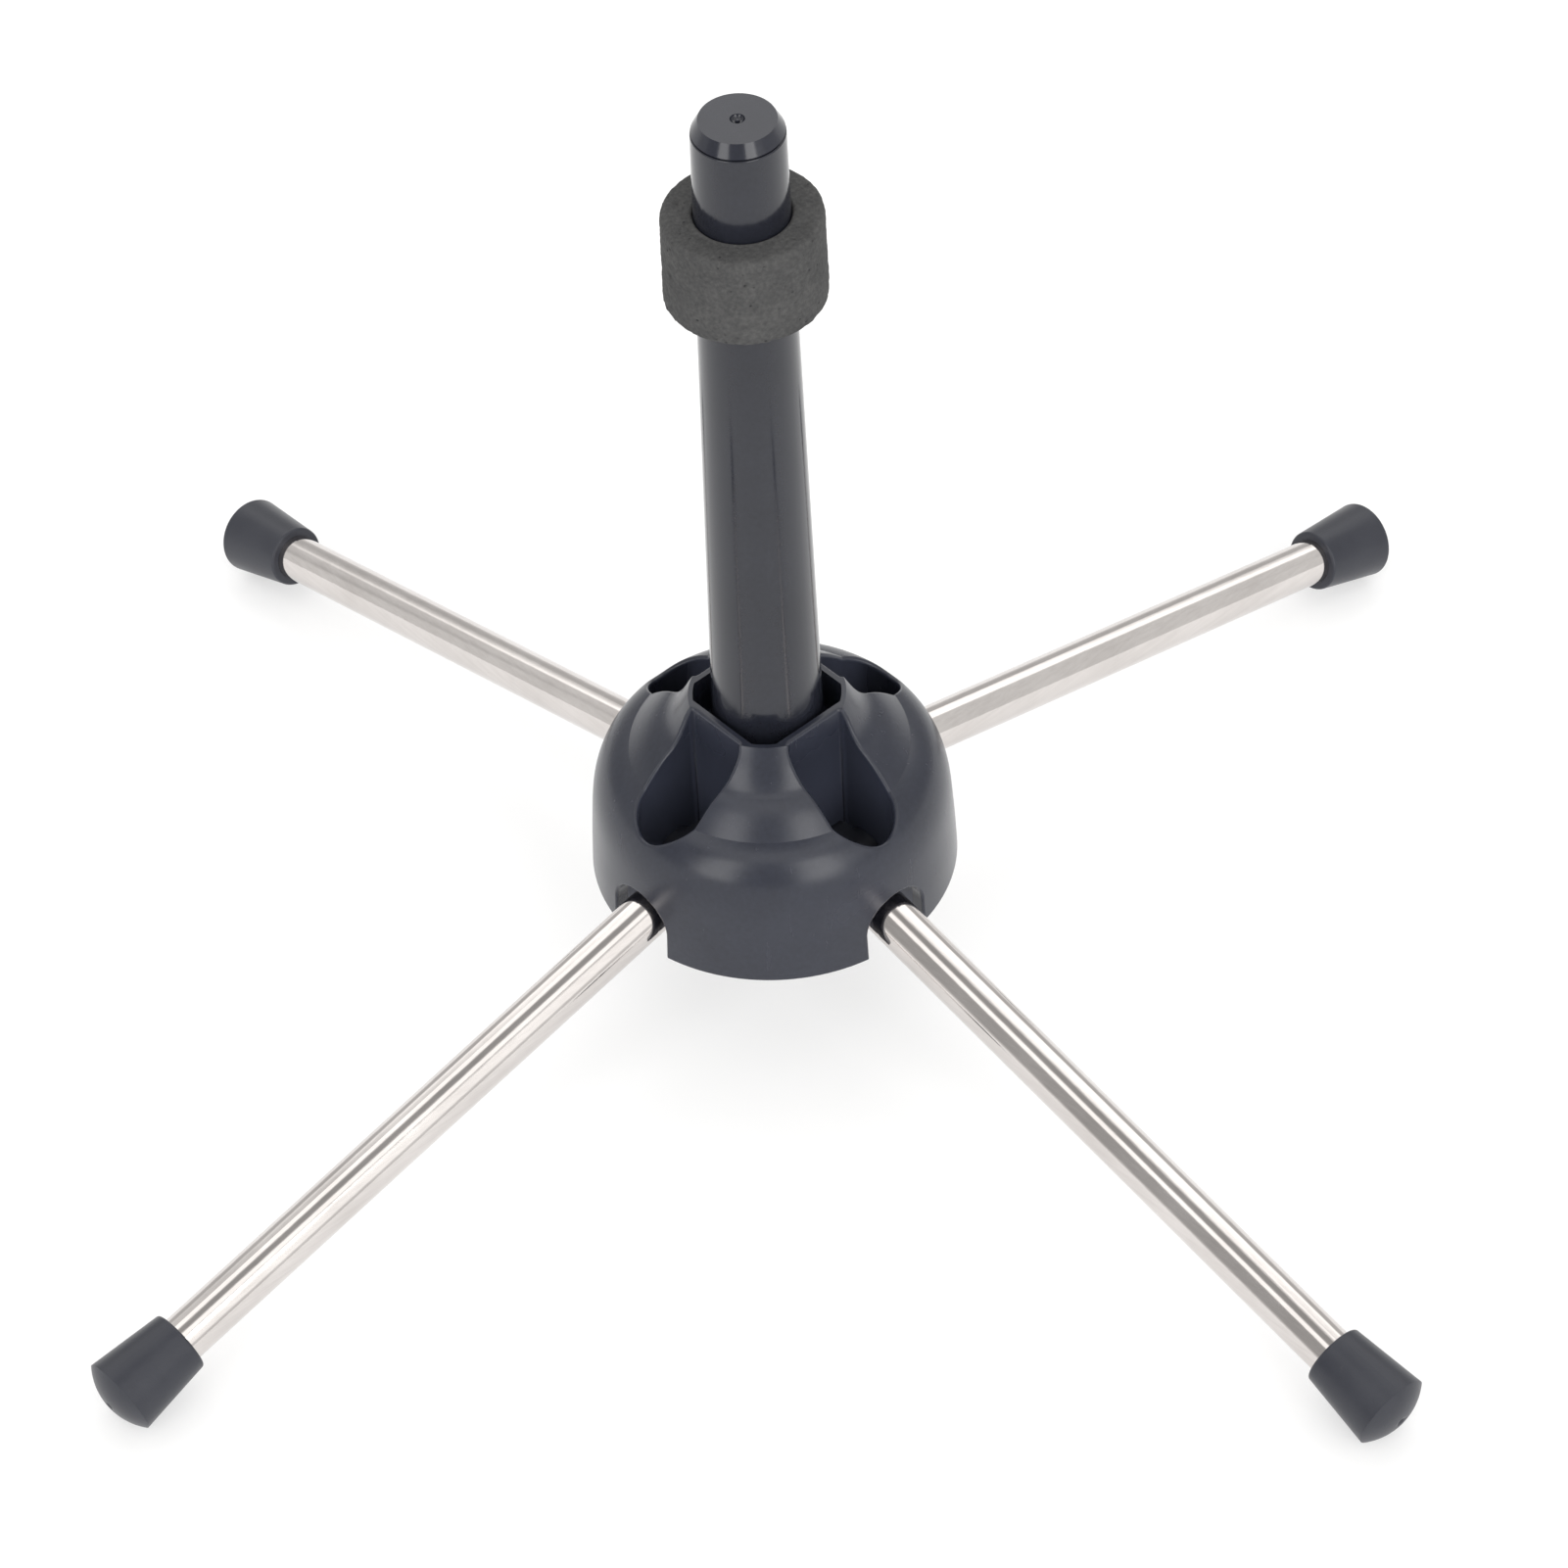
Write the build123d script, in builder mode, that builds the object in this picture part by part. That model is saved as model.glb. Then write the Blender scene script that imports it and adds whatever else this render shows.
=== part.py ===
from build123d import *
import os
from math import sin, cos, radians, sqrt

# Folding trumpet stand. Millimetres, +Z up, origin on the floor under the
# middle of the hub, legs along +X, -X, +Y and -Y.

# ---------------------------------------------------------------- legs
leg_slope = 13.5          # degrees below horizontal when open
leg_fold = 76.5           # degrees of swing from open to hanging straight down
leg_d = 10.0              # tube outside diameter
leg_wall = 0.8
pivot_r = 20.3            # pivot pin's distance from the stand's axis
foot_mouth_u = 143.4      # distances along a leg from its pivot
foot_edge_u = 160.8
foot_mouth_d = 13.3
foot_end_d = 16.8
foot_crown = 2.9          # height of the foot's domed end face
foot_round = 1.5          # rounding of the foot's wide edge
foot_lip = 0.6            # rounding of the foot's mouth
tube_end_u = 158.0        # tube's outer end, inside the foot
tube_start_u = 7.4        # tube's inner end, against the knuckle
pin_r = 2.0
pin_len = 19.4
running = 0.05            # radial running clearance
fit_gap = 0.02            # radial gap of pieces that are assembled tight

knuckle_r = 5.0           # eye of the knuckle
knuckle_w = 14.6
heel_w = 12.0
spigot_r = leg_d / 2 - leg_wall - fit_gap
spigot_end_u = 24.0

# lowest point of a foot, from its rounded edge, sets the pivot's height
s_ = sin(radians(leg_slope))
c_ = cos(radians(leg_slope))
edge_centre_u = foot_edge_u - foot_round
edge_centre_r = foot_end_d / 2 - foot_round
pivot_z = edge_centre_u * s_ + edge_centre_r * c_ + foot_round

# ---------------------------------------------------------------- hub
hub_z0 = pivot_z - 9.1    # underside of the hub's rim
rim_r = 37.6
collar_h = 44.6           # collar top above the rim's underside
neck = [(15.95, 44.6), (17.5, 41.6), (19.7, 37.9), (21.9, 36.0)]
band = [(21.9, 36.0), (24.2, 34.5), (26.6, 32.4), (28.6, 30.4)]
shoulder = [(28.6, 30.4), (31.0, 29.2), (33.0, 27.6), (34.8, 24.9), (36.1, 21.0),
            (36.9, 13.7), (37.4, 5.0), (rim_r, 0.0)]
inner_roof = [(0.0, 31.6), (21.0, 31.6), (25.1, 29.4), (28.4, 26.9), (31.0, 24.9),
              (32.6, 21.8), (33.6, 19.0), (34.4, 12.0), (35.0, 0.0)]
slot_w = 15.0             # leg slots, open at the top and at the bottom
slot_in = 13.7            # flat inner side of a slot
slot_arc_r = 25.8         # centre of its round outer end
slot_corner = 1.2         # rounding of its inner corners
slot_lip = 0.65           # rounding of its upper edge
notch_lip = 0.5           # rounding of a notch's outer edge
notch_w = 15.0            # arched notch in the rim under each slot
notch_top_h = 13.3
bay_wall = 2.2            # walls beside a slot
peg_bore_r = 11.72
peg_floor_h = 18.0        # floor that the peg stands on
peg_floor_t = 4.0
recess_h = 34.6           # floor of the wider recess round the peg
recess_flat = 12.2
recess_r = 15.0
plate_t = 2.2
plate_h = 0.4             # underside of the base plate above the rim
plate_r = 34.6
plate_top_h = plate_h + plate_t
plate_screw_r = 24.5
boss_r = 3.6
pad_t = 1.5               # thickening behind each end of a pivot pin

# ---------------------------------------------------------------- peg and collar
peg_top_z = hub_z0 + 188.8
peg_top_r = 8.99
peg_collar_r = 11.2       # radius level with the hub's collar
peg_taper = (peg_collar_r - peg_top_r) / (188.8 - collar_h)
peg_wall = 2.2
peg_base_z = hub_z0 + peg_floor_h
peg_base_r = peg_collar_r + peg_taper * (collar_h - peg_floor_h)
cap_height = 3.05
cap_edge_r = 7.45         # where the cap's sloping side meets its flat top
cap_edge_round = 0.8
gate_r = 1.45             # moulding gate dimple in the cap
cap_spigot = 10.0
foam_z0 = hub_z0 + 149.9
foam_h = 20.0
foam_r = 15.86
foam_round = 1.1

leg_names = {"front_left": 180, "front_right": 270, "back_right": 0, "back_left": 90}

os.makedirs("parts", exist_ok=True)


def peg_r(z):
    return peg_base_r - peg_taper * (z - peg_base_z)


def off_slot(p):
    # how far a point lies from the nearest slot's outline, in plan
    along, across = max(abs(p.X), abs(p.Y)), min(abs(p.X), abs(p.Y))
    half = slot_w / 2
    if along > slot_arc_r:
        return abs(sqrt((along - slot_arc_r) ** 2 + across**2) - half)
    if along < slot_in + slot_corner and across > half - slot_corner:
        return abs(sqrt((along - slot_in - slot_corner) ** 2 + (across - half + slot_corner) ** 2) - slot_corner)
    if across < half - slot_corner and along < slot_in + slot_corner:
        return abs(along - slot_in)
    return abs(across - half)


def save(piece, name):
    piece.part.label = name
    export_step(piece.part, f"parts/{name}.step")


def lift(points):
    return [(r, hub_z0 + h) for r, h in points]


# ================================================================ hub shell
# hollows between the leg bays, under a roof that follows the outside
with BuildPart() as web_core:
    with BuildSketch(Plane.XZ) as core_section:
        with BuildLine():
            Polyline(*lift(inner_roof), (0, hub_z0), (0, hub_z0 + inner_roof[0][1]))
        make_face()
    revolve(axis=Axis.Z)
    core_near = slot_w / 2 + bay_wall
    core_far = 40.0
    core_mid = (core_near + core_far) / 2
    with BuildSketch(Plane.XY.offset(hub_z0 - 1)):
        with GridLocations(2 * core_mid, 2 * core_mid, 2, 2):
            Rectangle(core_far - core_near, core_far - core_near)
    extrude(amount=collar_h, mode=Mode.INTERSECT)

with BuildPart() as hub_shell:
    # outside: a bell with a steep neck, a band and a round shoulder
    with BuildSketch(Plane.XZ) as hub_section:
        with BuildLine():
            Line((0, hub_z0), (rim_r, hub_z0))
            Spline(*lift(shoulder[::-1]))
            Spline(*lift(band[::-1]))
            Spline(*lift(neck[::-1]))
            Line((neck[0][0], hub_z0 + collar_h), (0, hub_z0 + collar_h))
            Line((0, hub_z0 + collar_h), (0, hub_z0))
        make_face()
    revolve(axis=Axis.Z)
    add(web_core.part, mode=Mode.SUBTRACT)

    # bosses for the base plate's screws, each with a rib to the socket
    with BuildSketch(Plane.XY.offset(hub_z0 + plate_top_h)):
        with PolarLocations(plate_screw_r, 4, start_angle=45):
            Circle(boss_r)
    extrude(amount=26.6)
    with BuildSketch(Plane.XY.offset(hub_z0 + 8)):
        with PolarLocations(plate_screw_r, 4, start_angle=45):
            Rectangle(plate_screw_r - 13.4, 1.6, align=(Align.MAX, Align.CENTER))
    extrude(amount=23.8)

    # thickening behind the pivot pins' ends
    with BuildSketch(Plane.XY.offset(hub_z0 + plate_top_h)):
        with PolarLocations(pivot_r, 4):
            with GridLocations(0, 2 * (core_near + pad_t / 2) - 0.1, 1, 2):
                Rectangle(8.0, pad_t + 0.1)
    extrude(amount=pivot_z + 4.0 - hub_z0 - plate_top_h)

    # recess that the base plate lies in
    with BuildSketch(Plane.XY.offset(hub_z0)):
        Circle(plate_r + 0.2)
    extrude(amount=plate_top_h, mode=Mode.SUBTRACT)

    # four leg slots, right through from top to bottom
    with BuildSketch(Plane.XY.offset(hub_z0 - 1)) as slot_plan:
        with PolarLocations(slot_arc_r, 4):
            Circle(slot_w / 2)
            Rectangle(slot_arc_r - slot_in, slot_w, align=(Align.MAX, Align.CENTER))
        fillet(slot_plan.vertices().filter_by(lambda v: sqrt(v.X**2 + v.Y**2) < 17.0), slot_corner)
    extrude(amount=collar_h + 2, mode=Mode.SUBTRACT)

    # arched notch through the rim under each slot
    for azimuth in leg_names.values():
        a = radians(azimuth)
        notch_plane = Plane(
            origin=(slot_arc_r * cos(a), slot_arc_r * sin(a), hub_z0),
            x_dir=(-sin(a), cos(a), 0),
            z_dir=(cos(a), sin(a), 0),
        )
        with BuildSketch(notch_plane):
            with Locations((0, notch_top_h - notch_w / 2)):
                Circle(notch_w / 2)
                Rectangle(notch_w, notch_top_h, align=(Align.CENTER, Align.MAX))
        extrude(amount=16, mode=Mode.SUBTRACT)

    # socket: wide recess at the collar, round bore below it, screw hole in its floor
    with BuildSketch(Plane.XY.offset(hub_z0 + recess_h)):
        Circle(recess_r)
        Rectangle(2 * recess_flat, 2 * recess_flat, mode=Mode.INTERSECT)
    extrude(amount=collar_h, mode=Mode.SUBTRACT)
    with BuildSketch(Plane.XY.offset(hub_z0 + peg_floor_h)):
        Circle(peg_bore_r)
    extrude(amount=collar_h, mode=Mode.SUBTRACT)
    with BuildSketch(Plane.XY.offset(hub_z0)):
        Circle(10.2)
    extrude(amount=peg_floor_h - peg_floor_t, mode=Mode.SUBTRACT)
    with BuildSketch(Plane.XY.offset(hub_z0)):
        Circle(2.3)
    extrude(amount=peg_floor_h + 1, mode=Mode.SUBTRACT)

    # pilot holes in the bosses
    with BuildSketch(Plane.XY.offset(hub_z0)):
        with PolarLocations(plate_screw_r, 4, start_angle=45):
            Circle(1.35)
    extrude(amount=15, mode=Mode.SUBTRACT)

    # seats of the pivot pins, open downwards
    for azimuth in leg_names.values():
        a = radians(azimuth)
        seat_plane = Plane(
            origin=(pivot_r * cos(a), pivot_r * sin(a), pivot_z),
            x_dir=(cos(a), sin(a), 0),
            z_dir=(-sin(a), cos(a), 0),
        )
        with BuildSketch(seat_plane):
            Circle(pin_r + running)
            Rectangle(2 * (pin_r + running), 12, align=(Align.CENTER, Align.MIN))
        extrude(amount=pin_len / 2 + 0.1, both=True, mode=Mode.SUBTRACT)

    # rounded upper edges of the slots
    skin = hub_shell.faces().filter_by(GeomType.REVOLUTION)
    skin += hub_shell.faces().filter_by(Axis.Z).filter_by(lambda f: abs(f.center().Z - hub_z0 - collar_h) < 0.01)
    lip_edges = ShapeList()
    for edge in skin.edges():
        mid = edge.position_at(0.5)
        if mid.Z > hub_z0 + 20 and off_slot(mid) < 0.02:
            if all((mid - other.position_at(0.5)).length > 1e-4 for other in lip_edges):
                lip_edges.append(edge)
    fillet(lip_edges, slot_lip)

    # rounded outer edges of the notches
    skin = hub_shell.faces().filter_by(GeomType.REVOLUTION)
    notch_edges = ShapeList()
    for edge in skin.edges():
        mid = edge.position_at(0.5)
        along, across = max(abs(mid.X), abs(mid.Y)), min(abs(mid.X), abs(mid.Y))
        if mid.Z < hub_z0 + notch_top_h + 0.1 and along > 34 and across < notch_w / 2 + 0.01:
            if all((mid - other.position_at(0.5)).length > 1e-4 for other in notch_edges):
                notch_edges.append(edge)
    fillet(notch_edges, notch_lip)

save(hub_shell, "hub_shell")

# ================================================================ base plate
with BuildPart() as hub_base_plate:
    with BuildSketch(Plane.XY.offset(hub_z0 + plate_h)) as plate_outline:
        Circle(plate_r)
        with PolarLocations(slot_in - 0.6, 4):
            Rectangle(40, slot_w + 0.2, align=(Align.MIN, Align.CENTER), mode=Mode.SUBTRACT)
        Circle(5.5, mode=Mode.SUBTRACT)
        fillet(plate_outline.vertices().group_by(lambda v: round(sqrt(v.X**2 + v.Y**2), 1))[-1], 1.0)
    extrude(amount=plate_t)
    # posts that close the pin seats from below
    with BuildSketch(Plane.XY.offset(hub_z0 + plate_top_h)):
        with PolarLocations(pivot_r, 4):
            with GridLocations(0, slot_w + 0.2 + 1.9, 1, 2):
                Rectangle(2 * pin_r - 0.1, 1.9)
    extrude(amount=pivot_z - pin_r - running - hub_z0 - plate_top_h)
    with Locations(Plane.XY.offset(hub_z0 + plate_h)):
        with PolarLocations(plate_screw_r, 4, start_angle=45):
            with Locations(Location((0, 0, 0), (180, 0, 0))):
                CounterSinkHole(radius=1.6, counter_sink_radius=3.0, depth=plate_t + 1, counter_sink_angle=90)

save(hub_base_plate, "hub_base_plate")

# ================================================================ screws
with BuildPart() as plate_screws:
    head_z = hub_z0 + plate_h
    with BuildSketch(Plane.XZ):
        with BuildLine():
            Polyline((plate_screw_r, head_z), (plate_screw_r + 2.85, head_z), (plate_screw_r + 1.3, head_z + 1.55),
                     (plate_screw_r + 1.3, head_z + 12.0), (plate_screw_r + 0.2, head_z + 13.6), (plate_screw_r, head_z + 13.6),
                     (plate_screw_r, head_z))
        make_face()
    revolve(axis=Axis((plate_screw_r, 0, 0), (0, 0, 1)))
    with BuildSketch(Plane.XY.offset(head_z)):
        with Locations((plate_screw_r, 0)):
            Rectangle(3.0, 0.7)
            Rectangle(0.7, 3.0)
    extrude(amount=1.1, mode=Mode.SUBTRACT)
screw_master = plate_screws.part
with BuildPart() as plate_screws:
    for azimuth in (45, 135, 225, 315):
        add(screw_master.rotate(Axis.Z, azimuth))
save(plate_screws, "plate_screws")

washer_z = hub_z0 + peg_floor_h - peg_floor_t - 1.0
with BuildPart() as peg_screw_washer:
    with BuildSketch(Plane.XY.offset(washer_z)):
        Circle(6.0)
        Circle(2.2, mode=Mode.SUBTRACT)
    extrude(amount=1.0)
    chamfer(peg_screw_washer.edges().filter_by(GeomType.CIRCLE).filter_by(lambda e: e.radius > 5), 0.2)
save(peg_screw_washer, "peg_screw_washer")

with BuildPart() as peg_screw:
    with BuildSketch(Plane.XZ):
        with BuildLine():
            Line((0, washer_z - 2.6), (2.2, washer_z - 2.6))
            ThreePointArc((2.2, washer_z - 2.6), (3.6, washer_z - 1.9), (4.1, washer_z))
            Polyline((4.1, washer_z), (1.95, washer_z), (1.95, washer_z + 17.0), (0.4, washer_z + 19.0), (0, washer_z + 19.0), (0, washer_z - 2.6))
        make_face()
    revolve(axis=Axis.Z)
    with BuildSketch(Plane.XY.offset(washer_z - 2.6)):
        Rectangle(4.2, 1.0)
        Rectangle(1.0, 4.2)
    extrude(amount=1.6, mode=Mode.SUBTRACT)
save(peg_screw, "peg_screw")

# ================================================================ peg
with BuildPart() as peg_tube:
    with BuildSketch(Plane.XZ):
        with BuildLine():
            Polyline((2.0, peg_base_z), (peg_base_r - 0.8, peg_base_z), (peg_base_r, peg_base_z + 0.8),
                     (peg_top_r, peg_top_z), (peg_top_r - peg_wall, peg_top_z),
                     (peg_base_r - peg_wall - 0.05, peg_base_z + 3.5), (4.2, peg_base_z + 3.5), (4.0, peg_base_z + 16.0),
                     (2.0, peg_base_z + 16.0), (2.0, peg_base_z))
        make_face()
    revolve(axis=Axis.Z)
    fillet(peg_tube.edges().filter_by(GeomType.CIRCLE).filter_by(
        lambda e: abs(e.radius - peg_top_r) < 0.01 and e.center().Z > peg_top_z - 1), 0.25)
save(peg_tube, "peg_tube")

with BuildPart() as peg_end_cap:
    cap_top = peg_top_z + cap_height
    with BuildSketch(Plane.XZ) as cap_section:
        with BuildLine():
            Polyline((0, peg_top_z - cap_spigot), (6.2, peg_top_z - cap_spigot), (6.72, peg_top_z - cap_spigot + 1.2),
                     (6.72, peg_top_z), (8.5, peg_top_z), (8.5, peg_top_z + 0.3), (8.86, peg_top_z + 0.45),
                     (cap_edge_r, cap_top), (0, cap_top), (0, peg_top_z - cap_spigot))
        make_face()
        fillet(cap_section.vertices().filter_by(lambda v: abs(v.Z - cap_top) < 0.01 and v.X > 1), cap_edge_round)
    revolve(axis=Axis.Z)
    # hollow spigot
    with BuildSketch(Plane.XY.offset(peg_top_z - cap_spigot)):
        Circle(5.0)
    extrude(amount=cap_spigot, mode=Mode.SUBTRACT)
    # moulding gate dimple in the middle of the top, with the gate's stub in it
    with BuildSketch(Plane.XZ):
        with BuildLine():
            Polyline((0, cap_top + 0.2), (gate_r, cap_top + 0.2), (gate_r, cap_top))
            ThreePointArc((gate_r, cap_top), (gate_r - 0.28, cap_top - 0.5), (gate_r - 0.75, cap_top - 0.75))
            Polyline((gate_r - 0.75, cap_top - 0.75), (0.52, cap_top - 0.75), (0.42, cap_top - 0.25), (0.2, cap_top - 0.15),
                     (0, cap_top - 0.15), (0, cap_top + 0.2))
        make_face()
    revolve(axis=Axis.Z, mode=Mode.SUBTRACT)
save(peg_end_cap, "peg_end_cap")

# ================================================================ foam collar
with BuildPart() as foam_collar:
    with BuildSketch(Plane.XZ) as foam_section:
        with BuildLine():
            Polyline((peg_r(foam_z0) + running, foam_z0), (foam_r, foam_z0), (foam_r, foam_z0 + foam_h),
                     (peg_r(foam_z0 + foam_h) + running, foam_z0 + foam_h), (peg_r(foam_z0) + running, foam_z0))
        make_face()
        fillet(foam_section.vertices().group_by(Axis.X)[-1], foam_round)
        fillet(foam_section.vertices().group_by(Axis.X)[0], 0.5)
    revolve(axis=Axis.Z)
save(foam_collar, "foam_collar")

# ================================================================ one leg, along +X
leg_plane = Plane(origin=(pivot_r, 0, pivot_z), x_dir=(c_, 0, -s_), z_dir=(0, -1, 0))
leg_axis = Axis((pivot_r, 0, pivot_z), (c_, 0, -s_))
heel_plane = Plane(origin=(pivot_r, 0, pivot_z), x_dir=(1, 0, 0), z_dir=(0, -1, 0))

with BuildPart() as tube_master:
    with BuildSketch(leg_plane):
        with Locations((tube_start_u, leg_d / 2)):
            Rectangle(tube_end_u - tube_start_u, leg_wall, align=(Align.MIN, Align.MAX))
    revolve(axis=leg_axis)

with BuildPart() as foot_master:
    with BuildSketch(leg_plane) as foot_section:
        with BuildLine():
            dome_r = ((foot_end_d / 2) ** 2 + foot_crown**2) / (2 * foot_crown)
            mid_y = foot_end_d / 4
            mid_u = foot_edge_u - 1.0 + foot_crown - (dome_r - sqrt(dome_r**2 - mid_y**2))
            Polyline((foot_edge_u - 1.0 + foot_crown, 0), (tube_end_u + 0.1, 0), (tube_end_u + 0.1, leg_d / 2 + fit_gap),
                     (foot_mouth_u, leg_d / 2 + fit_gap), (foot_mouth_u, foot_mouth_d / 2),
                     (foot_edge_u - 1.0, foot_end_d / 2 - 0.1))
            ThreePointArc((foot_edge_u - 1.0, foot_end_d / 2 - 0.1), (mid_u, mid_y), (foot_edge_u - 1.0 + foot_crown, 0))
        make_face()
        outer = foot_section.vertices().sort_by(lambda v: (Vector(v.X, v.Y, v.Z) - Vector(pivot_r, 0, pivot_z)).dot(Vector(s_, 0, c_)))[-1]
        fillet(outer, foot_round)
    revolve(axis=leg_axis)
    fillet(foot_master.edges().filter_by(GeomType.CIRCLE).filter_by(lambda e: abs(e.radius - foot_mouth_d / 2) < 0.01), foot_lip)

with BuildPart() as knuckle_master:
    with BuildSketch(leg_plane):
        Circle(knuckle_r)
    extrude(amount=knuckle_w / 2, both=True)
    # heel that stops the leg against the slot's inner wall
    with BuildSketch(heel_plane) as heel:
        with BuildLine():
            Polyline((0, 0), (-(pivot_r - slot_in - 0.05), 0.4), (-(pivot_r - slot_in - 0.05), 4.4), (-5.2, 5.0), (0, 5.0), (0, 0))
        make_face()
    extrude(amount=heel_w / 2, both=True)
    # neck and spigot
    with BuildSketch(leg_plane):
        with BuildLine():
            Polyline((0, 0), (0, leg_d / 2 - 0.3), (tube_start_u - 0.05, leg_d / 2 - 0.3), (tube_start_u - 0.05, spigot_r),
                     (spigot_end_u - 1.0, spigot_r), (spigot_end_u, spigot_r - 1.0), (spigot_end_u, 0), (0, 0))
        make_face()
    revolve(axis=leg_axis)
    with BuildSketch(leg_plane):
        Circle(pin_r + fit_gap)
    extrude(amount=knuckle_w, both=True, mode=Mode.SUBTRACT)

with BuildPart() as pin_master:
    with BuildSketch(leg_plane):
        Circle(pin_r)
    extrude(amount=pin_len / 2, both=True)
    chamfer(pin_master.edges().filter_by(GeomType.CIRCLE), 0.3)

for where, azimuth in leg_names.items():
    with BuildPart() as leg_tube:
        add(tube_master.part.rotate(Axis.Z, azimuth))
    save(leg_tube, f"leg_tube_{where}")
    with BuildPart() as rubber_foot:
        add(foot_master.part.rotate(Axis.Z, azimuth))
    save(rubber_foot, f"rubber_foot_{where}")
    with BuildPart() as leg_knuckle:
        add(knuckle_master.part.rotate(Axis.Z, azimuth))
    save(leg_knuckle, f"leg_knuckle_{where}")
    with BuildPart() as pivot_pin:
        add(pin_master.part.rotate(Axis.Z, azimuth))
    save(pivot_pin, f"pivot_pin_{where}")
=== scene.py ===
import math
import bpy
import bmesh
import numpy as np
from mathutils import Vector, Matrix, noise


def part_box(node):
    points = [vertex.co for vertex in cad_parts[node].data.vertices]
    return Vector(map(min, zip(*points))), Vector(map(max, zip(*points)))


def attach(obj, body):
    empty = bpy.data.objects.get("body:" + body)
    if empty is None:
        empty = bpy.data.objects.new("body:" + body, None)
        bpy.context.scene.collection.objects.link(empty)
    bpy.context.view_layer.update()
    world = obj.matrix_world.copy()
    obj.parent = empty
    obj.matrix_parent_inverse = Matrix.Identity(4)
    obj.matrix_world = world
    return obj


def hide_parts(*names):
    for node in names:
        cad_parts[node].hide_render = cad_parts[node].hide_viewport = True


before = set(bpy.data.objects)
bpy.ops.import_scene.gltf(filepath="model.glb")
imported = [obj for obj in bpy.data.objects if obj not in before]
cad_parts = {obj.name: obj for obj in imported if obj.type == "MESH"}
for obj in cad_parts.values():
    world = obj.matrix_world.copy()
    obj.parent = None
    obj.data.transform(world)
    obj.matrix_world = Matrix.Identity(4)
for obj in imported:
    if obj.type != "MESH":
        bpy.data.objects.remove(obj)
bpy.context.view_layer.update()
scene = bpy.context.scene

# ------------------------------------------------------------------ camera
CAM_AZ, CAM_EL, CAM_ROLL = math.radians(-40.476), math.radians(45.126), math.radians(-2.848)
back = Vector((math.sin(CAM_AZ) * math.cos(CAM_EL), -math.cos(CAM_AZ) * math.cos(CAM_EL), math.sin(CAM_EL)))
right = Vector((math.cos(CAM_AZ), math.sin(CAM_AZ), 0.0))
up = back.cross(right)
eye = Vector((0, 0, 0.078878)) + right * 0.0025 + up * -0.0172 + back * 1.213
cr, sr = math.cos(CAM_ROLL), math.sin(CAM_ROLL)
right_r = right * cr + up * sr
up_r = up * cr - right * sr
cam_data = bpy.data.cameras.new("camera")
cam_data.sensor_width = 36.0
cam_data.lens = 36.0 * 6154.0 / 1601.0
cam_data.clip_start = 0.05
cam_data.clip_end = 60.0
cam = bpy.data.objects.new("camera", cam_data)
scene.collection.objects.link(cam)
rot = Matrix((right_r, up_r, back)).transposed()
cam.matrix_world = Matrix.Translation(eye) @ rot.to_4x4()
scene.camera = cam
scene.view_settings.view_transform = "Standard"
scene.view_settings.look = "None"

# ------------------------------------------------------------------ studio
FRONT = math.radians(-45.0)      # turn from the studio's front to the stand's frame


def studio_dir(az, el):
    """Unit vector to a studio direction: az from the front towards the right, el above the floor, degrees."""
    a, e = math.radians(az), math.radians(el)
    x, y, z = math.sin(a) * math.cos(e), -math.cos(a) * math.cos(e), math.sin(e)
    return Vector((x * math.cos(FRONT) - y * math.sin(FRONT), x * math.sin(FRONT) + y * math.cos(FRONT), z))


world = bpy.data.worlds.new("studio")
scene.world = world
world.use_nodes = True
wt = world.node_tree
wt.nodes.clear()
w_out = wt.nodes.new("ShaderNodeOutputWorld")
w_bg = wt.nodes.new("ShaderNodeBackground")
wt.links.new(w_bg.outputs[0], w_out.inputs[0])
w_co = wt.nodes.new("ShaderNodeTexCoord")
w_sep = wt.nodes.new("ShaderNodeSeparateXYZ")
wt.links.new(w_co.outputs["Generated"], w_sep.inputs[0])


def w_math(op, a, b=None, clamp=False):
    n = wt.nodes.new("ShaderNodeMath")
    n.operation = op
    n.use_clamp = clamp
    for i, v in enumerate((a, b)):
        if v is None:
            continue
        if isinstance(v, (int, float)):
            n.inputs[i].default_value = v
        else:
            wt.links.new(v, n.inputs[i])
    return n.outputs[0]


def w_map(v, lo, hi, out_lo, out_hi):
    n = wt.nodes.new("ShaderNodeMapRange")
    n.interpolation_type = "SMOOTHSTEP"
    wt.links.new(v, n.inputs["Value"])
    for name, x in (("From Min", lo), ("From Max", hi), ("To Min", out_lo), ("To Max", out_hi)):
        n.inputs[name].default_value = x
    return n.outputs["Result"]


def w_dot(vec):
    n = wt.nodes.new("ShaderNodeVectorMath")
    n.operation = "DOT_PRODUCT"
    wt.links.new(w_co.outputs["Generated"], n.inputs[0])
    n.inputs[1].default_value = vec
    return n.outputs["Value"]


def panel(az, el_lo, el_hi, half_az, soft, amount):
    """A soft-edged light panel, as a patch of brighter sky."""
    middle = studio_dir(az, 0)
    side = studio_dir(az + 90, 0)
    along, across = w_dot(middle), w_dot(side)
    angle = w_math("ARCTAN2", across, along)
    angle = w_math("ABSOLUTE", angle)
    in_az = w_map(angle, math.radians(half_az - soft), math.radians(half_az + soft), 1.0, 0.0)
    z = w_sep.outputs["Z"]
    low = w_map(z, math.sin(math.radians(el_lo - soft)), math.sin(math.radians(el_lo + soft)), 0.0, 1.0)
    high = w_map(z, math.sin(math.radians(el_hi - soft)), math.sin(math.radians(min(89, el_hi + soft))), 1.0, 0.0)
    return w_math("MULTIPLY", w_math("MULTIPLY", in_az, w_math("MULTIPLY", low, high)), amount)


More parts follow.
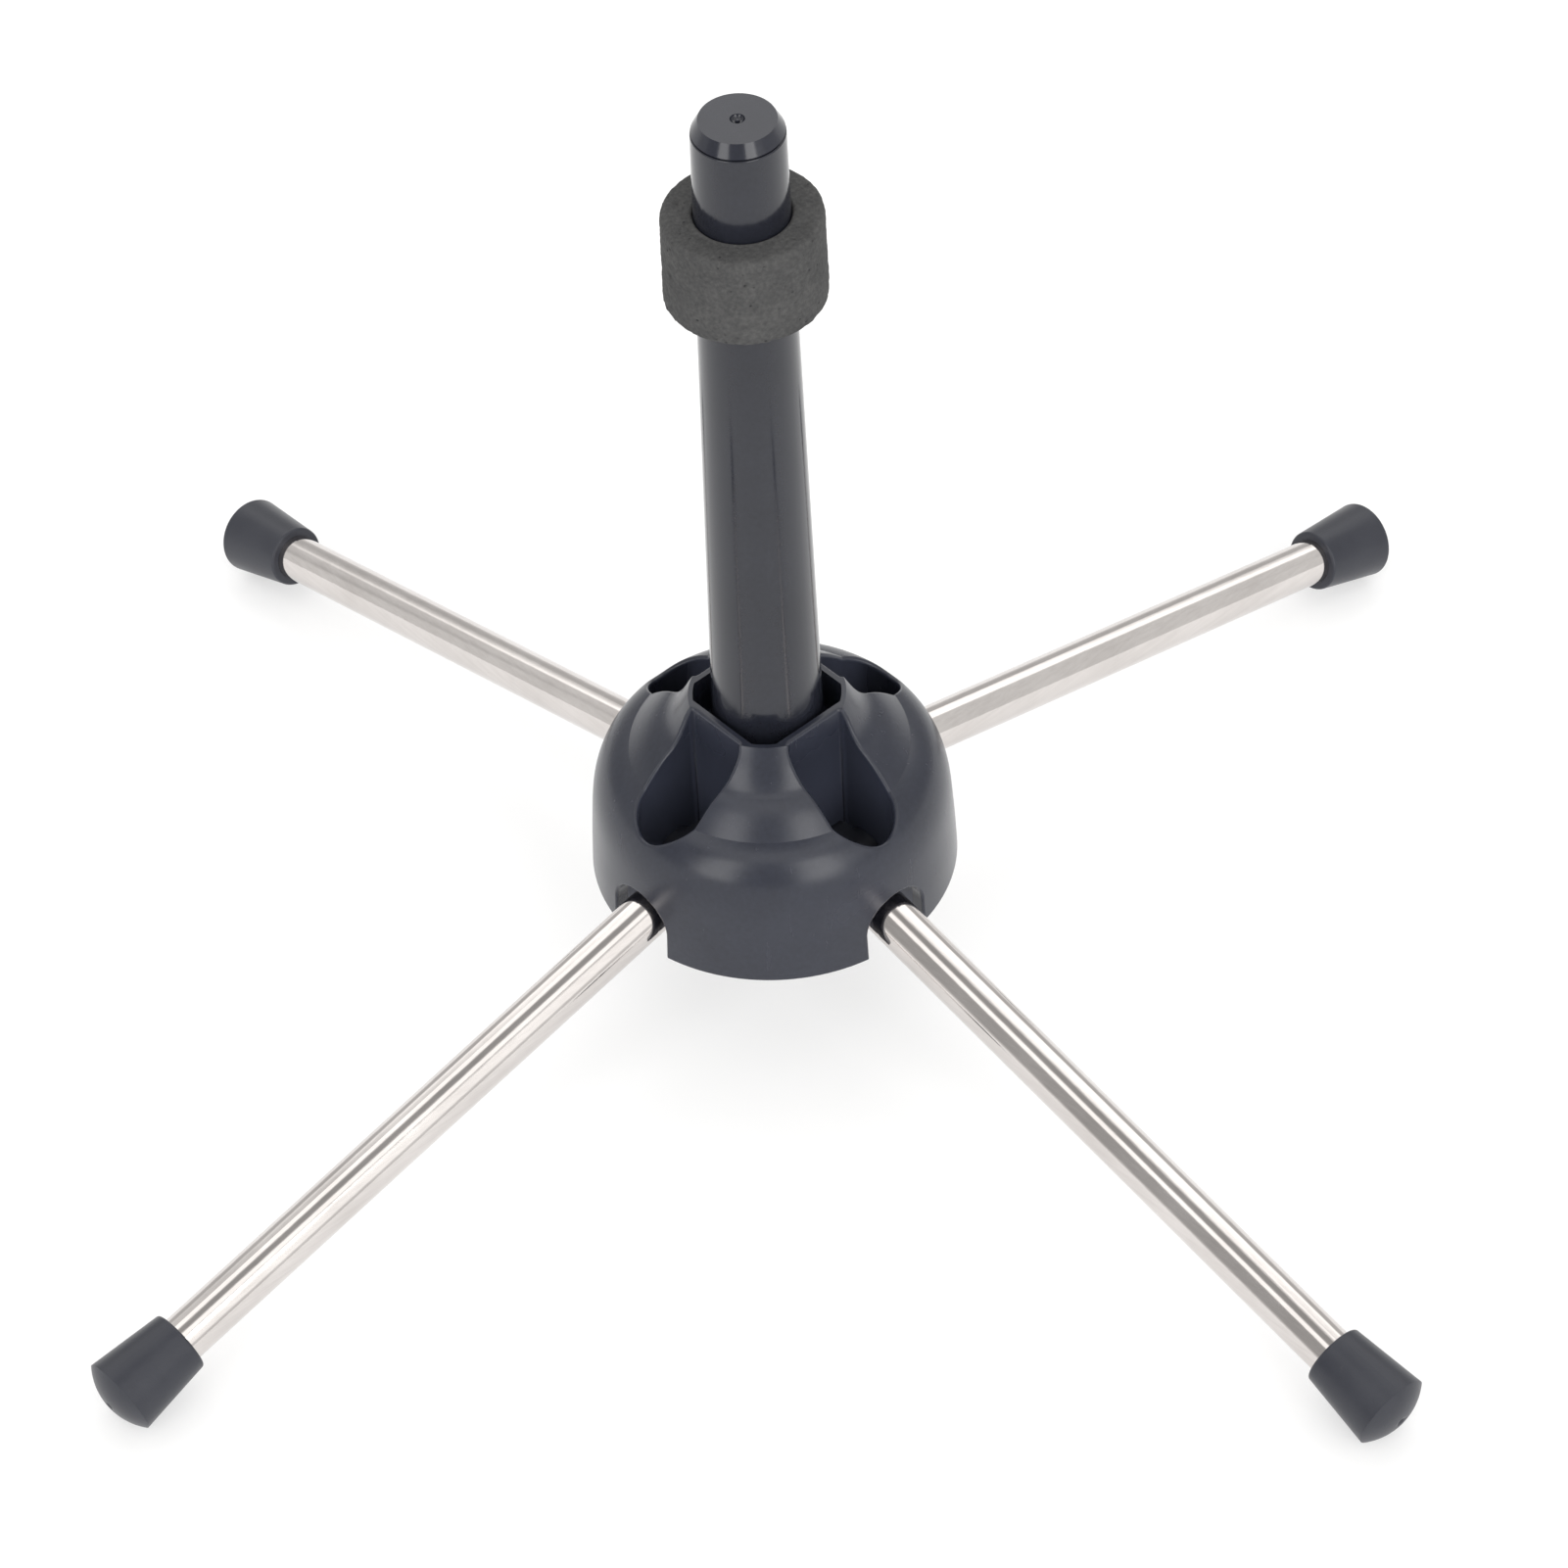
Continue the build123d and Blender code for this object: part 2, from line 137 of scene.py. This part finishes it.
z = w_sep.outputs["Z"]
sky = w_map(z, math.sin(math.radians(76)), math.sin(math.radians(82)), 0.82, 0.42)
total = sky
for p in (
    (0, 58, 75, 181, 2.0, 0.75),       # overhead ring of soft boxes
    (-32, 4, 54, 12, 3.0, 2.8),        # front left box
    (32, 2, 54, 12, 3.0, 3.2),         # front right box
    (52, 12, 50, 14, 4.0, 0.55),
    (180, 28, 56, 40, 4.0, 0.95),      # bright wall behind, above a dimmer strip
    (180, 6, 26, 70, 5.0, -0.22),
):
    total = w_math("ADD", total, panel(*p))
dim = panel(-58, 6, 56, 16, 4.0, -0.35)
dim2 = panel(0, 0, 56, 18, 5.0, -0.3)
total = w_math("ADD", w_math("ADD", total, dim), dim2)
wt.links.new(total, w_bg.inputs["Strength"])
w_bg.inputs["Color"].default_value = (1.0, 0.995, 0.985, 1.0)

bm = bmesh.new()
bmesh.ops.create_grid(bm, x_segments=8, y_segments=8, size=6.0)
floor_mesh = bpy.data.meshes.new("floor")
bm.to_mesh(floor_mesh)
bm.free()
floor = bpy.data.objects.new("floor", floor_mesh)
scene.collection.objects.link(floor)


# ------------------------------------------------------------------ materials
class Mat:
    def __init__(self, name):
        self.m = bpy.data.materials.new(name)
        self.m.use_nodes = True
        self.t = self.m.node_tree
        self.t.nodes.clear()
        self.out = self.t.nodes.new("ShaderNodeOutputMaterial")
        self.b = self.t.nodes.new("ShaderNodeBsdfPrincipled")
        self.t.links.new(self.b.outputs[0], self.out.inputs["Surface"])
        self.co = self.t.nodes.new("ShaderNodeTexCoord")

    def set(self, **kw):
        for k, v in kw.items():
            self.b.inputs[k.replace("_", " ")].default_value = v
        return self

    def link(self, a, b):
        self.t.links.new(a, b)

    def coords(self, scale=(1, 1, 1), rotation=(0, 0, 0)):
        n = self.t.nodes.new("ShaderNodeMapping")
        n.inputs["Scale"].default_value = scale
        n.inputs["Rotation"].default_value = rotation
        self.link(self.co.outputs["Object"], n.inputs["Vector"])
        return n.outputs[0]

    def noise(self, scale, detail=3.0, rough=0.5, vec=None, distortion=0.0):
        n = self.t.nodes.new("ShaderNodeTexNoise")
        n.inputs["Scale"].default_value = scale
        n.inputs["Detail"].default_value = detail
        n.inputs["Roughness"].default_value = rough
        n.inputs["Distortion"].default_value = distortion
        self.link(vec if vec is not None else self.co.outputs["Object"], n.inputs["Vector"])
        return n.outputs["Fac"]

    def voronoi(self, scale, vec=None, feature="F1", randomness=1.0):
        n = self.t.nodes.new("ShaderNodeTexVoronoi")
        n.feature = feature
        n.inputs["Scale"].default_value = scale
        n.inputs["Randomness"].default_value = randomness
        self.link(vec if vec is not None else self.co.outputs["Object"], n.inputs["Vector"])
        return n.outputs["Distance"]

    def range(self, v, lo, hi, a, b, smooth=False):
        n = self.t.nodes.new("ShaderNodeMapRange")
        n.interpolation_type = "SMOOTHSTEP" if smooth else "LINEAR"
        self.link(v, n.inputs["Value"])
        for name, x in (("From Min", lo), ("From Max", hi), ("To Min", a), ("To Max", b)):
            n.inputs[name].default_value = x
        return n.outputs["Result"]

    def math(self, op, a, b=None, clamp=False):
        n = self.t.nodes.new("ShaderNodeMath")
        n.operation = op
        n.use_clamp = clamp
        for i, v in enumerate((a, b)):
            if v is None:
                continue
            if isinstance(v, (int, float)):
                n.inputs[i].default_value = v
            else:
                self.link(v, n.inputs[i])
        return n.outputs[0]

    def ramp(self, v, stops):
        n = self.t.nodes.new("ShaderNodeValToRGB")
        e = n.color_ramp.elements
        e[0].position, e[0].color = stops[0][0], (*stops[0][1], 1)
        e[1].position, e[1].color = stops[-1][0], (*stops[-1][1], 1)
        for pos, col in stops[1:-1]:
            x = e.new(pos)
            x.color = (*col, 1)
        self.link(v, n.inputs["Fac"])
        return n.outputs["Color"]

    def mix(self, fac, a, b, mode="MIX"):
        n = self.t.nodes.new("ShaderNodeMix")
        n.data_type = "RGBA"
        n.blend_type = mode
        if isinstance(fac, (int, float)):
            n.inputs["Factor"].default_value = fac
        else:
            self.link(fac, n.inputs["Factor"])
        for sock, v in (("A", a), ("B", b)):
            s = [i for i in n.inputs if i.name == sock and i.type == "RGBA"][0]
            if isinstance(v, tuple):
                s.default_value = (*v, 1)
            else:
                self.link(v, s)
        return [o for o in n.outputs if o.type == "RGBA"][0]

    def bump(self, height, strength, distance, normal=None):
        n = self.t.nodes.new("ShaderNodeBump")
        n.inputs["Strength"].default_value = strength
        n.inputs["Distance"].default_value = distance
        self.link(height, n.inputs["Height"])
        if normal is not None:
            self.link(normal, n.inputs["Normal"])
        return n.outputs["Normal"]

    def color(self, sock):
        self.link(sock, self.b.inputs["Base Color"])

    def rough(self, sock):
        self.link(sock, self.b.inputs["Roughness"])

    def normal(self, sock):
        self.link(sock, self.b.inputs["Normal"])


def plastic(name, base, rough, vary=0.05, grain=0.25, grain_scale=2600.0, ior=1.46, paint_cavity_light=False):
    """Moulded plastic: slight cloudiness, fine spark-eroded grain and a few faint rub marks; optionally painted light
    that lifts the shade on the hub's slot and socket walls.
    """
    m = Mat(name)
    m.set(IOR=ior)
    cloud = m.noise(38.0, 4.0, 0.6)
    fine = m.noise(900.0, 2.0, 0.5)
    lo = tuple(c * 0.82 for c in base)
    hi = tuple(c * 1.22 for c in base)
    tone = m.ramp(m.math("ADD", m.math("MULTIPLY", cloud, 0.7), m.math("MULTIPLY", fine, 0.3)), [(0.32, lo), (0.68, hi)])
    rub_vec = m.coords((1, 1, 0.14))
    rub = m.range(m.noise(420.0, 5.0, 0.62, rub_vec), 0.6, 0.78, 0.0, 1.0, True)
    color = m.mix(m.math("MULTIPLY", rub, 0.10), tone, tuple(min(1, c * 2.4 + 0.01) for c in base))
    r = m.math("ADD", m.range(cloud, 0.3, 0.7, rough - vary, rough + vary), m.math("MULTIPLY", rub, 0.06))
    if paint_cavity_light:
        # painted light: the walls of the leg slots and of the socket are painted paler and made rougher, lifting the
        # shade inside them, most in their lower part
        xyz, nrm = m.t.nodes.new("ShaderNodeSeparateXYZ"), m.t.nodes.new("ShaderNodeSeparateXYZ")
        m.link(m.co.outputs["Object"], xyz.inputs[0])
        m.link(m.co.outputs["Normal"], nrm.inputs[0])
        ax, ay = m.math("ABSOLUTE", xyz.outputs["X"]), m.math("ABSOLUTE", xyz.outputs["Y"])
        nx, ny = m.math("ABSOLUTE", nrm.outputs["X"]), m.math("ABSOLUTE", nrm.outputs["Y"])
        along, across = m.math("MAXIMUM", ax, ay), m.math("MINIMUM", ax, ay)
        # the normal's part across the slot: y for the slots along x, x for the others
        onx = m.math("GREATER_THAN", ax, ay)
        offx = m.math("SUBTRACT", 1.0, onx)
        cross = m.math("ADD", m.math("MULTIPLY", onx, ny), m.math("MULTIPLY", offx, nx))
        back = m.math("ADD", m.math("MULTIPLY", onx, nx), m.math("MULTIPLY", offx, ny))
        near = m.math("LESS_THAN", across, 0.0078)
        side = m.math("MULTIPLY", m.math("MULTIPLY", near, m.math("LESS_THAN", along, 0.0335)),
                      m.range(cross, 0.60, 0.92, 0.0, 1.0, True))
        end = m.math("MULTIPLY", m.math("MULTIPLY", near, m.math("LESS_THAN", along, 0.0146)),
                     m.range(back, 0.80, 0.95, 0.0, 1.0, True))
        deep = m.range(xyz.outputs["Z"], 0.054, 0.077, 1.0, 0.15, True)
        painted_light_mask = m.math("MULTIPLY", m.math("MAXIMUM", side, end), deep)
        # painted light: the slot and socket walls are mixed towards 2.5 times the base colour in place of their shade
        color = m.mix(painted_light_mask, color, tuple(c * 2.5 for c in base))
        r = m.math("ADD", r, m.math("MULTIPLY", painted_light_mask, 0.20))
    m.color(color)
    m.rough(r)
    m.normal(m.bump(m.noise(grain_scale, 2.0, 0.6), grain, 0.00006))
    return m.m


# the hub gets painted light on its slot and socket walls
hub_mat = plastic("hub_plastic", (0.0215, 0.0240, 0.0355), 0.25, 0.03, 0.20, paint_cavity_light=True)
peg_mat = plastic("peg_plastic", (0.0150, 0.0163, 0.0232), 0.12, 0.02, 0.08, ior=1.5)
cap_mat = plastic("cap_plastic", (0.0150, 0.0165, 0.0250), 0.13, 0.02, 0.10, ior=1.5)
plate_mat = plastic("plate_plastic", (0.022, 0.024, 0.034), 0.42, 0.04, 0.35)
knuckle_mat = plastic("knuckle_plastic", (0.018, 0.0195, 0.026), 0.40, 0.05, 0.3)

# rubber of the feet
m = Mat("foot_rubber")
m.set(IOR=1.43)
cl = m.noise(60.0, 4.0, 0.6)
tone = m.ramp(cl, [(0.3, (0.0235, 0.0252, 0.0345)), (0.7, (0.0330, 0.0350, 0.0450))])
dust = m.range(m.noise(520.0, 4.0, 0.7), 0.62, 0.8, 0.0, 1.0, True)
m.color(m.mix(m.math("MULTIPLY", dust, 0.14), tone, (0.09, 0.088, 0.085)))
m.rough(m.range(cl, 0.3, 0.7, 0.30, 0.42))
m.normal(m.bump(m.noise(1900.0, 3.0, 0.6), 0.3, 0.00008))
rubber_mat = m.m


def steel_tube(name, axis):
    """Bright drawn tube: fine lengthwise draw marks, faint haze and fine rub marks; axis is "X" or "Y"."""
    m = Mat(name)
    m.set(Metallic=1.0)
    stretch = (3.0, 1400.0, 1400.0) if axis == "X" else (1400.0, 3.0, 1400.0)
    v = m.coords(stretch, (0, 0, 0))
    draw = m.noise(1.0, 4.0, 0.6, v)
    stretch2 = (14.0, 420.0, 420.0) if axis == "X" else (420.0, 14.0, 420.0)
    draw2 = m.noise(1.0, 3.0, 0.55, m.coords(stretch2))
    haze = m.noise(55.0, 4.0, 0.6)
    tone = m.ramp(m.math("ADD", m.math("MULTIPLY", draw, 0.45), m.math("MULTIPLY", haze, 0.55)),
                  [(0.30, (0.60, 0.565, 0.545)), (0.70, (0.72, 0.685, 0.665))])
    fleck = m.range(m.noise(900.0, 3.0, 0.7), 0.70, 0.80, 0.0, 1.0, True)
    m.color(m.mix(m.math("MULTIPLY", fleck, 0.35), tone, (0.30, 0.28, 0.26)))
    m.rough(m.math("ADD", m.range(haze, 0.3, 0.7, 0.055, 0.105), m.math("MULTIPLY", fleck, 0.15)))
    n = m.bump(draw, 0.20, 0.00003)
    n = m.bump(draw2, 0.14, 0.00008, n)
    m.normal(n)
    return m.m


tube_x = steel_tube("leg_metal_x", "X")
tube_y = steel_tube("leg_metal_y", "Y")


def small_steel(name, base, rough):
    m = Mat(name)
    m.set(Metallic=1.0)
    h = m.noise(300.0, 4.0, 0.6)
    m.color(m.ramp(h, [(0.3, tuple(c * 0.85 for c in base)), (0.7, tuple(min(1, c * 1.1) for c in base))]))
    m.rough(m.range(h, 0.3, 0.7, rough - 0.06, rough + 0.06))
    m.normal(m.bump(m.noise(2200.0, 2.0), 0.15, 0.00005))
    return m.m


pin_mat = small_steel("pin_steel", (0.60, 0.60, 0.61), 0.25)
screw_mat = small_steel("screw_steel", (0.55, 0.56, 0.60), 0.30)

# floor
m = Mat("floor_white")
m.set(IOR=1.3)
m.color(m.ramp(m.noise(3.0, 2.0), [(0.3, (0.48, 0.48, 0.48)), (0.7, (0.50, 0.50, 0.50))]))
m.set(Roughness=0.9)
m.b.inputs["Specular IOR Level"].default_value = 0.1
m.b.inputs["Emission Color"].default_value = (1.0, 1.0, 1.0, 1.0)
m.b.inputs["Emission Strength"].default_value = 0.52
floor.data.materials.append(m.m)


def finish_node(name, mat):
    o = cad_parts[name]
    o.data.materials.clear()
    o.data.materials.append(mat)
    for p in o.data.polygons:
        p.material_index = 0


finish_node("hub_shell", hub_mat)
finish_node("hub_base_plate", plate_mat)
finish_node("peg_tube", peg_mat)
finish_node("peg_end_cap", cap_mat)
finish_node("plate_screws", screw_mat)
finish_node("peg_screw", screw_mat)
finish_node("peg_screw_washer", screw_mat)
for where in ("front_left", "front_right", "back_right", "back_left"):
    finish_node("leg_tube_" + where, tube_x if where in ("front_left", "back_right") else tube_y)
    finish_node("rubber_foot_" + where, rubber_mat)
    finish_node("leg_knuckle_" + where, knuckle_mat)
    finish_node("pivot_pin_" + where, pin_mat)

# ------------------------------------------------------------------ foam collar
m = Mat("collar_foam")
m.set(IOR=1.45)
m.b.inputs["Specular IOR Level"].default_value = 0.25
big = m.noise(160.0, 4.0, 0.6)
cells = m.voronoi(1500.0)
pore = m.range(m.voronoi(620.0), 0.10, 0.24, 1.0, 0.0, True)
sparse = m.range(m.noise(420.0, 2.0, 0.5), 0.50, 0.62, 0.0, 1.0, True)
pore = m.math("MULTIPLY", pore, sparse)
mottle = m.noise(1150.0, 2.0, 0.6)
tone = m.ramp(m.math("ADD", m.math("MULTIPLY", big, 0.45), m.math("MULTIPLY", mottle, 0.55)),
              [(0.30, (0.046, 0.0462, 0.0470)), (0.50, (0.068, 0.0680, 0.0680)), (0.72, (0.098, 0.0970, 0.0955))])
m.color(m.mix(m.math("MULTIPLY", pore, 0.75), tone, (0.018, 0.018, 0.020)))
m.set(Roughness=0.92)
m.rough(m.range(big, 0.3, 0.7, 0.86, 0.98))
n = m.bump(cells, 0.55, 0.00018)
n = m.bump(m.math("SUBTRACT", 1.0, pore), 0.6, 0.0003, n)
m.normal(n)
foam_mat = m.m

lo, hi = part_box("foam_collar")
z0, z1, R = lo.z, hi.z, hi.x


PEG_LO, PEG_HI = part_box("peg_tube")


def peg_radius(zz):
    t = (zz - PEG_LO.z) / (PEG_HI.z - PEG_LO.z)
    return PEG_HI.x + (0.00899 - PEG_HI.x) * t


def foam_profile():
    """(r, z) once round the collar's section, anticlockwise from the bore's lower edge."""
    pts = []
    rb0, rb1 = peg_radius(z0) + 0.00008, peg_radius(z1) + 0.00008
    ro, ri = 0.0012, 0.0006

    def arc(cx, cz, rad, a0, a1, n):
        for i in range(n + 1):
            a = math.radians(a0 + (a1 - a0) * i / n)
            pts.append((cx + rad * math.cos(a), cz + rad * math.sin(a)))

    def run(a, b, n):
        for i in range(1, n):
            t = i / n
            pts.append((a[0] + (b[0] - a[0]) * t, a[1] + (b[1] - a[1]) * t))

    arc(rb0 + ri, z0 + ri, ri, 180, 270, 3)
    run(pts[-1], (R - ro, z0), 14)
    arc(R - ro, z0 + ro, ro, 270, 360, 8)
    run(pts[-1], (R, z1 - ro), 46)
    arc(R - ro, z1 - ro, ro, 0, 90, 8)
    run(pts[-1], (rb1 + ri, z1), 14)
    arc(rb1 + ri, z1 - ri, ri, 90, 180, 3)
    run(pts[-1], pts[0], 30)
    return pts


prof = foam_profile()
SEG = 256
verts, faces = [], []
for i in range(SEG):
    a = 2 * math.pi * i / SEG
    ca, sa = math.cos(a), math.sin(a)
    for j, (r, zz) in enumerate(prof):
        # outward direction of the section, for the foam's cell relief
        pr, pz = prof[j - 1]
        nr, nz = prof[(j + 1) % len(prof)]
        tr, tz = nr - pr, nz - pz
        ln = math.hypot(tr, tz) or 1.0
        ox, oz = tz / ln, -tr / ln
        p = Vector((r * ca, r * sa, zz))
        inner = r < peg_radius(zz) + 0.0009
        d = 0.0
        if not inner:
            d = 0.00010 * noise.noise(p * 700.0) + 0.00009 * noise.noise(p * 1500.0) + 0.00016 * noise.noise(p * 120.0)
            hole = noise.noise(p * 420.0 + Vector((7, 3, 1)))
            if hole > 0.42:
                d -= (hole - 0.42) * 0.0009
            d -= 0.00012
        r_full = r
        if not inner:
            t = max(0.0, min(1.0, (zz - z0) / (z1 - z0)))
            k = max(0.0, (r - peg_radius(zz)) / (R - peg_radius(zz)))
            r_full = r - 0.00030 * k * t * t
        rr, z2 = r_full + ox * d, zz + oz * d
        verts.append((rr * ca, rr * sa, z2))
n_prof = len(prof)
for i in range(SEG):
    i2 = (i + 1) % SEG
    for j in range(n_prof):
        j2 = (j + 1) % n_prof
        faces.append((i * n_prof + j, i2 * n_prof + j, i2 * n_prof + j2, i * n_prof + j2))
foam_mesh = bpy.data.meshes.new("foam_ring")
foam_mesh.from_pydata(verts, [], faces)
foam_mesh.update()
bm = bmesh.new()
bm.from_mesh(foam_mesh)
bmesh.ops.recalc_face_normals(bm, faces=bm.faces)
bm.to_mesh(foam_mesh)
bm.free()
for p in foam_mesh.polygons:
    p.use_smooth = True
foam = bpy.data.objects.new("foam_ring", foam_mesh)
scene.collection.objects.link(foam)
foam.data.materials.append(foam_mat)
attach(foam, "collar")
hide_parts("foam_collar")
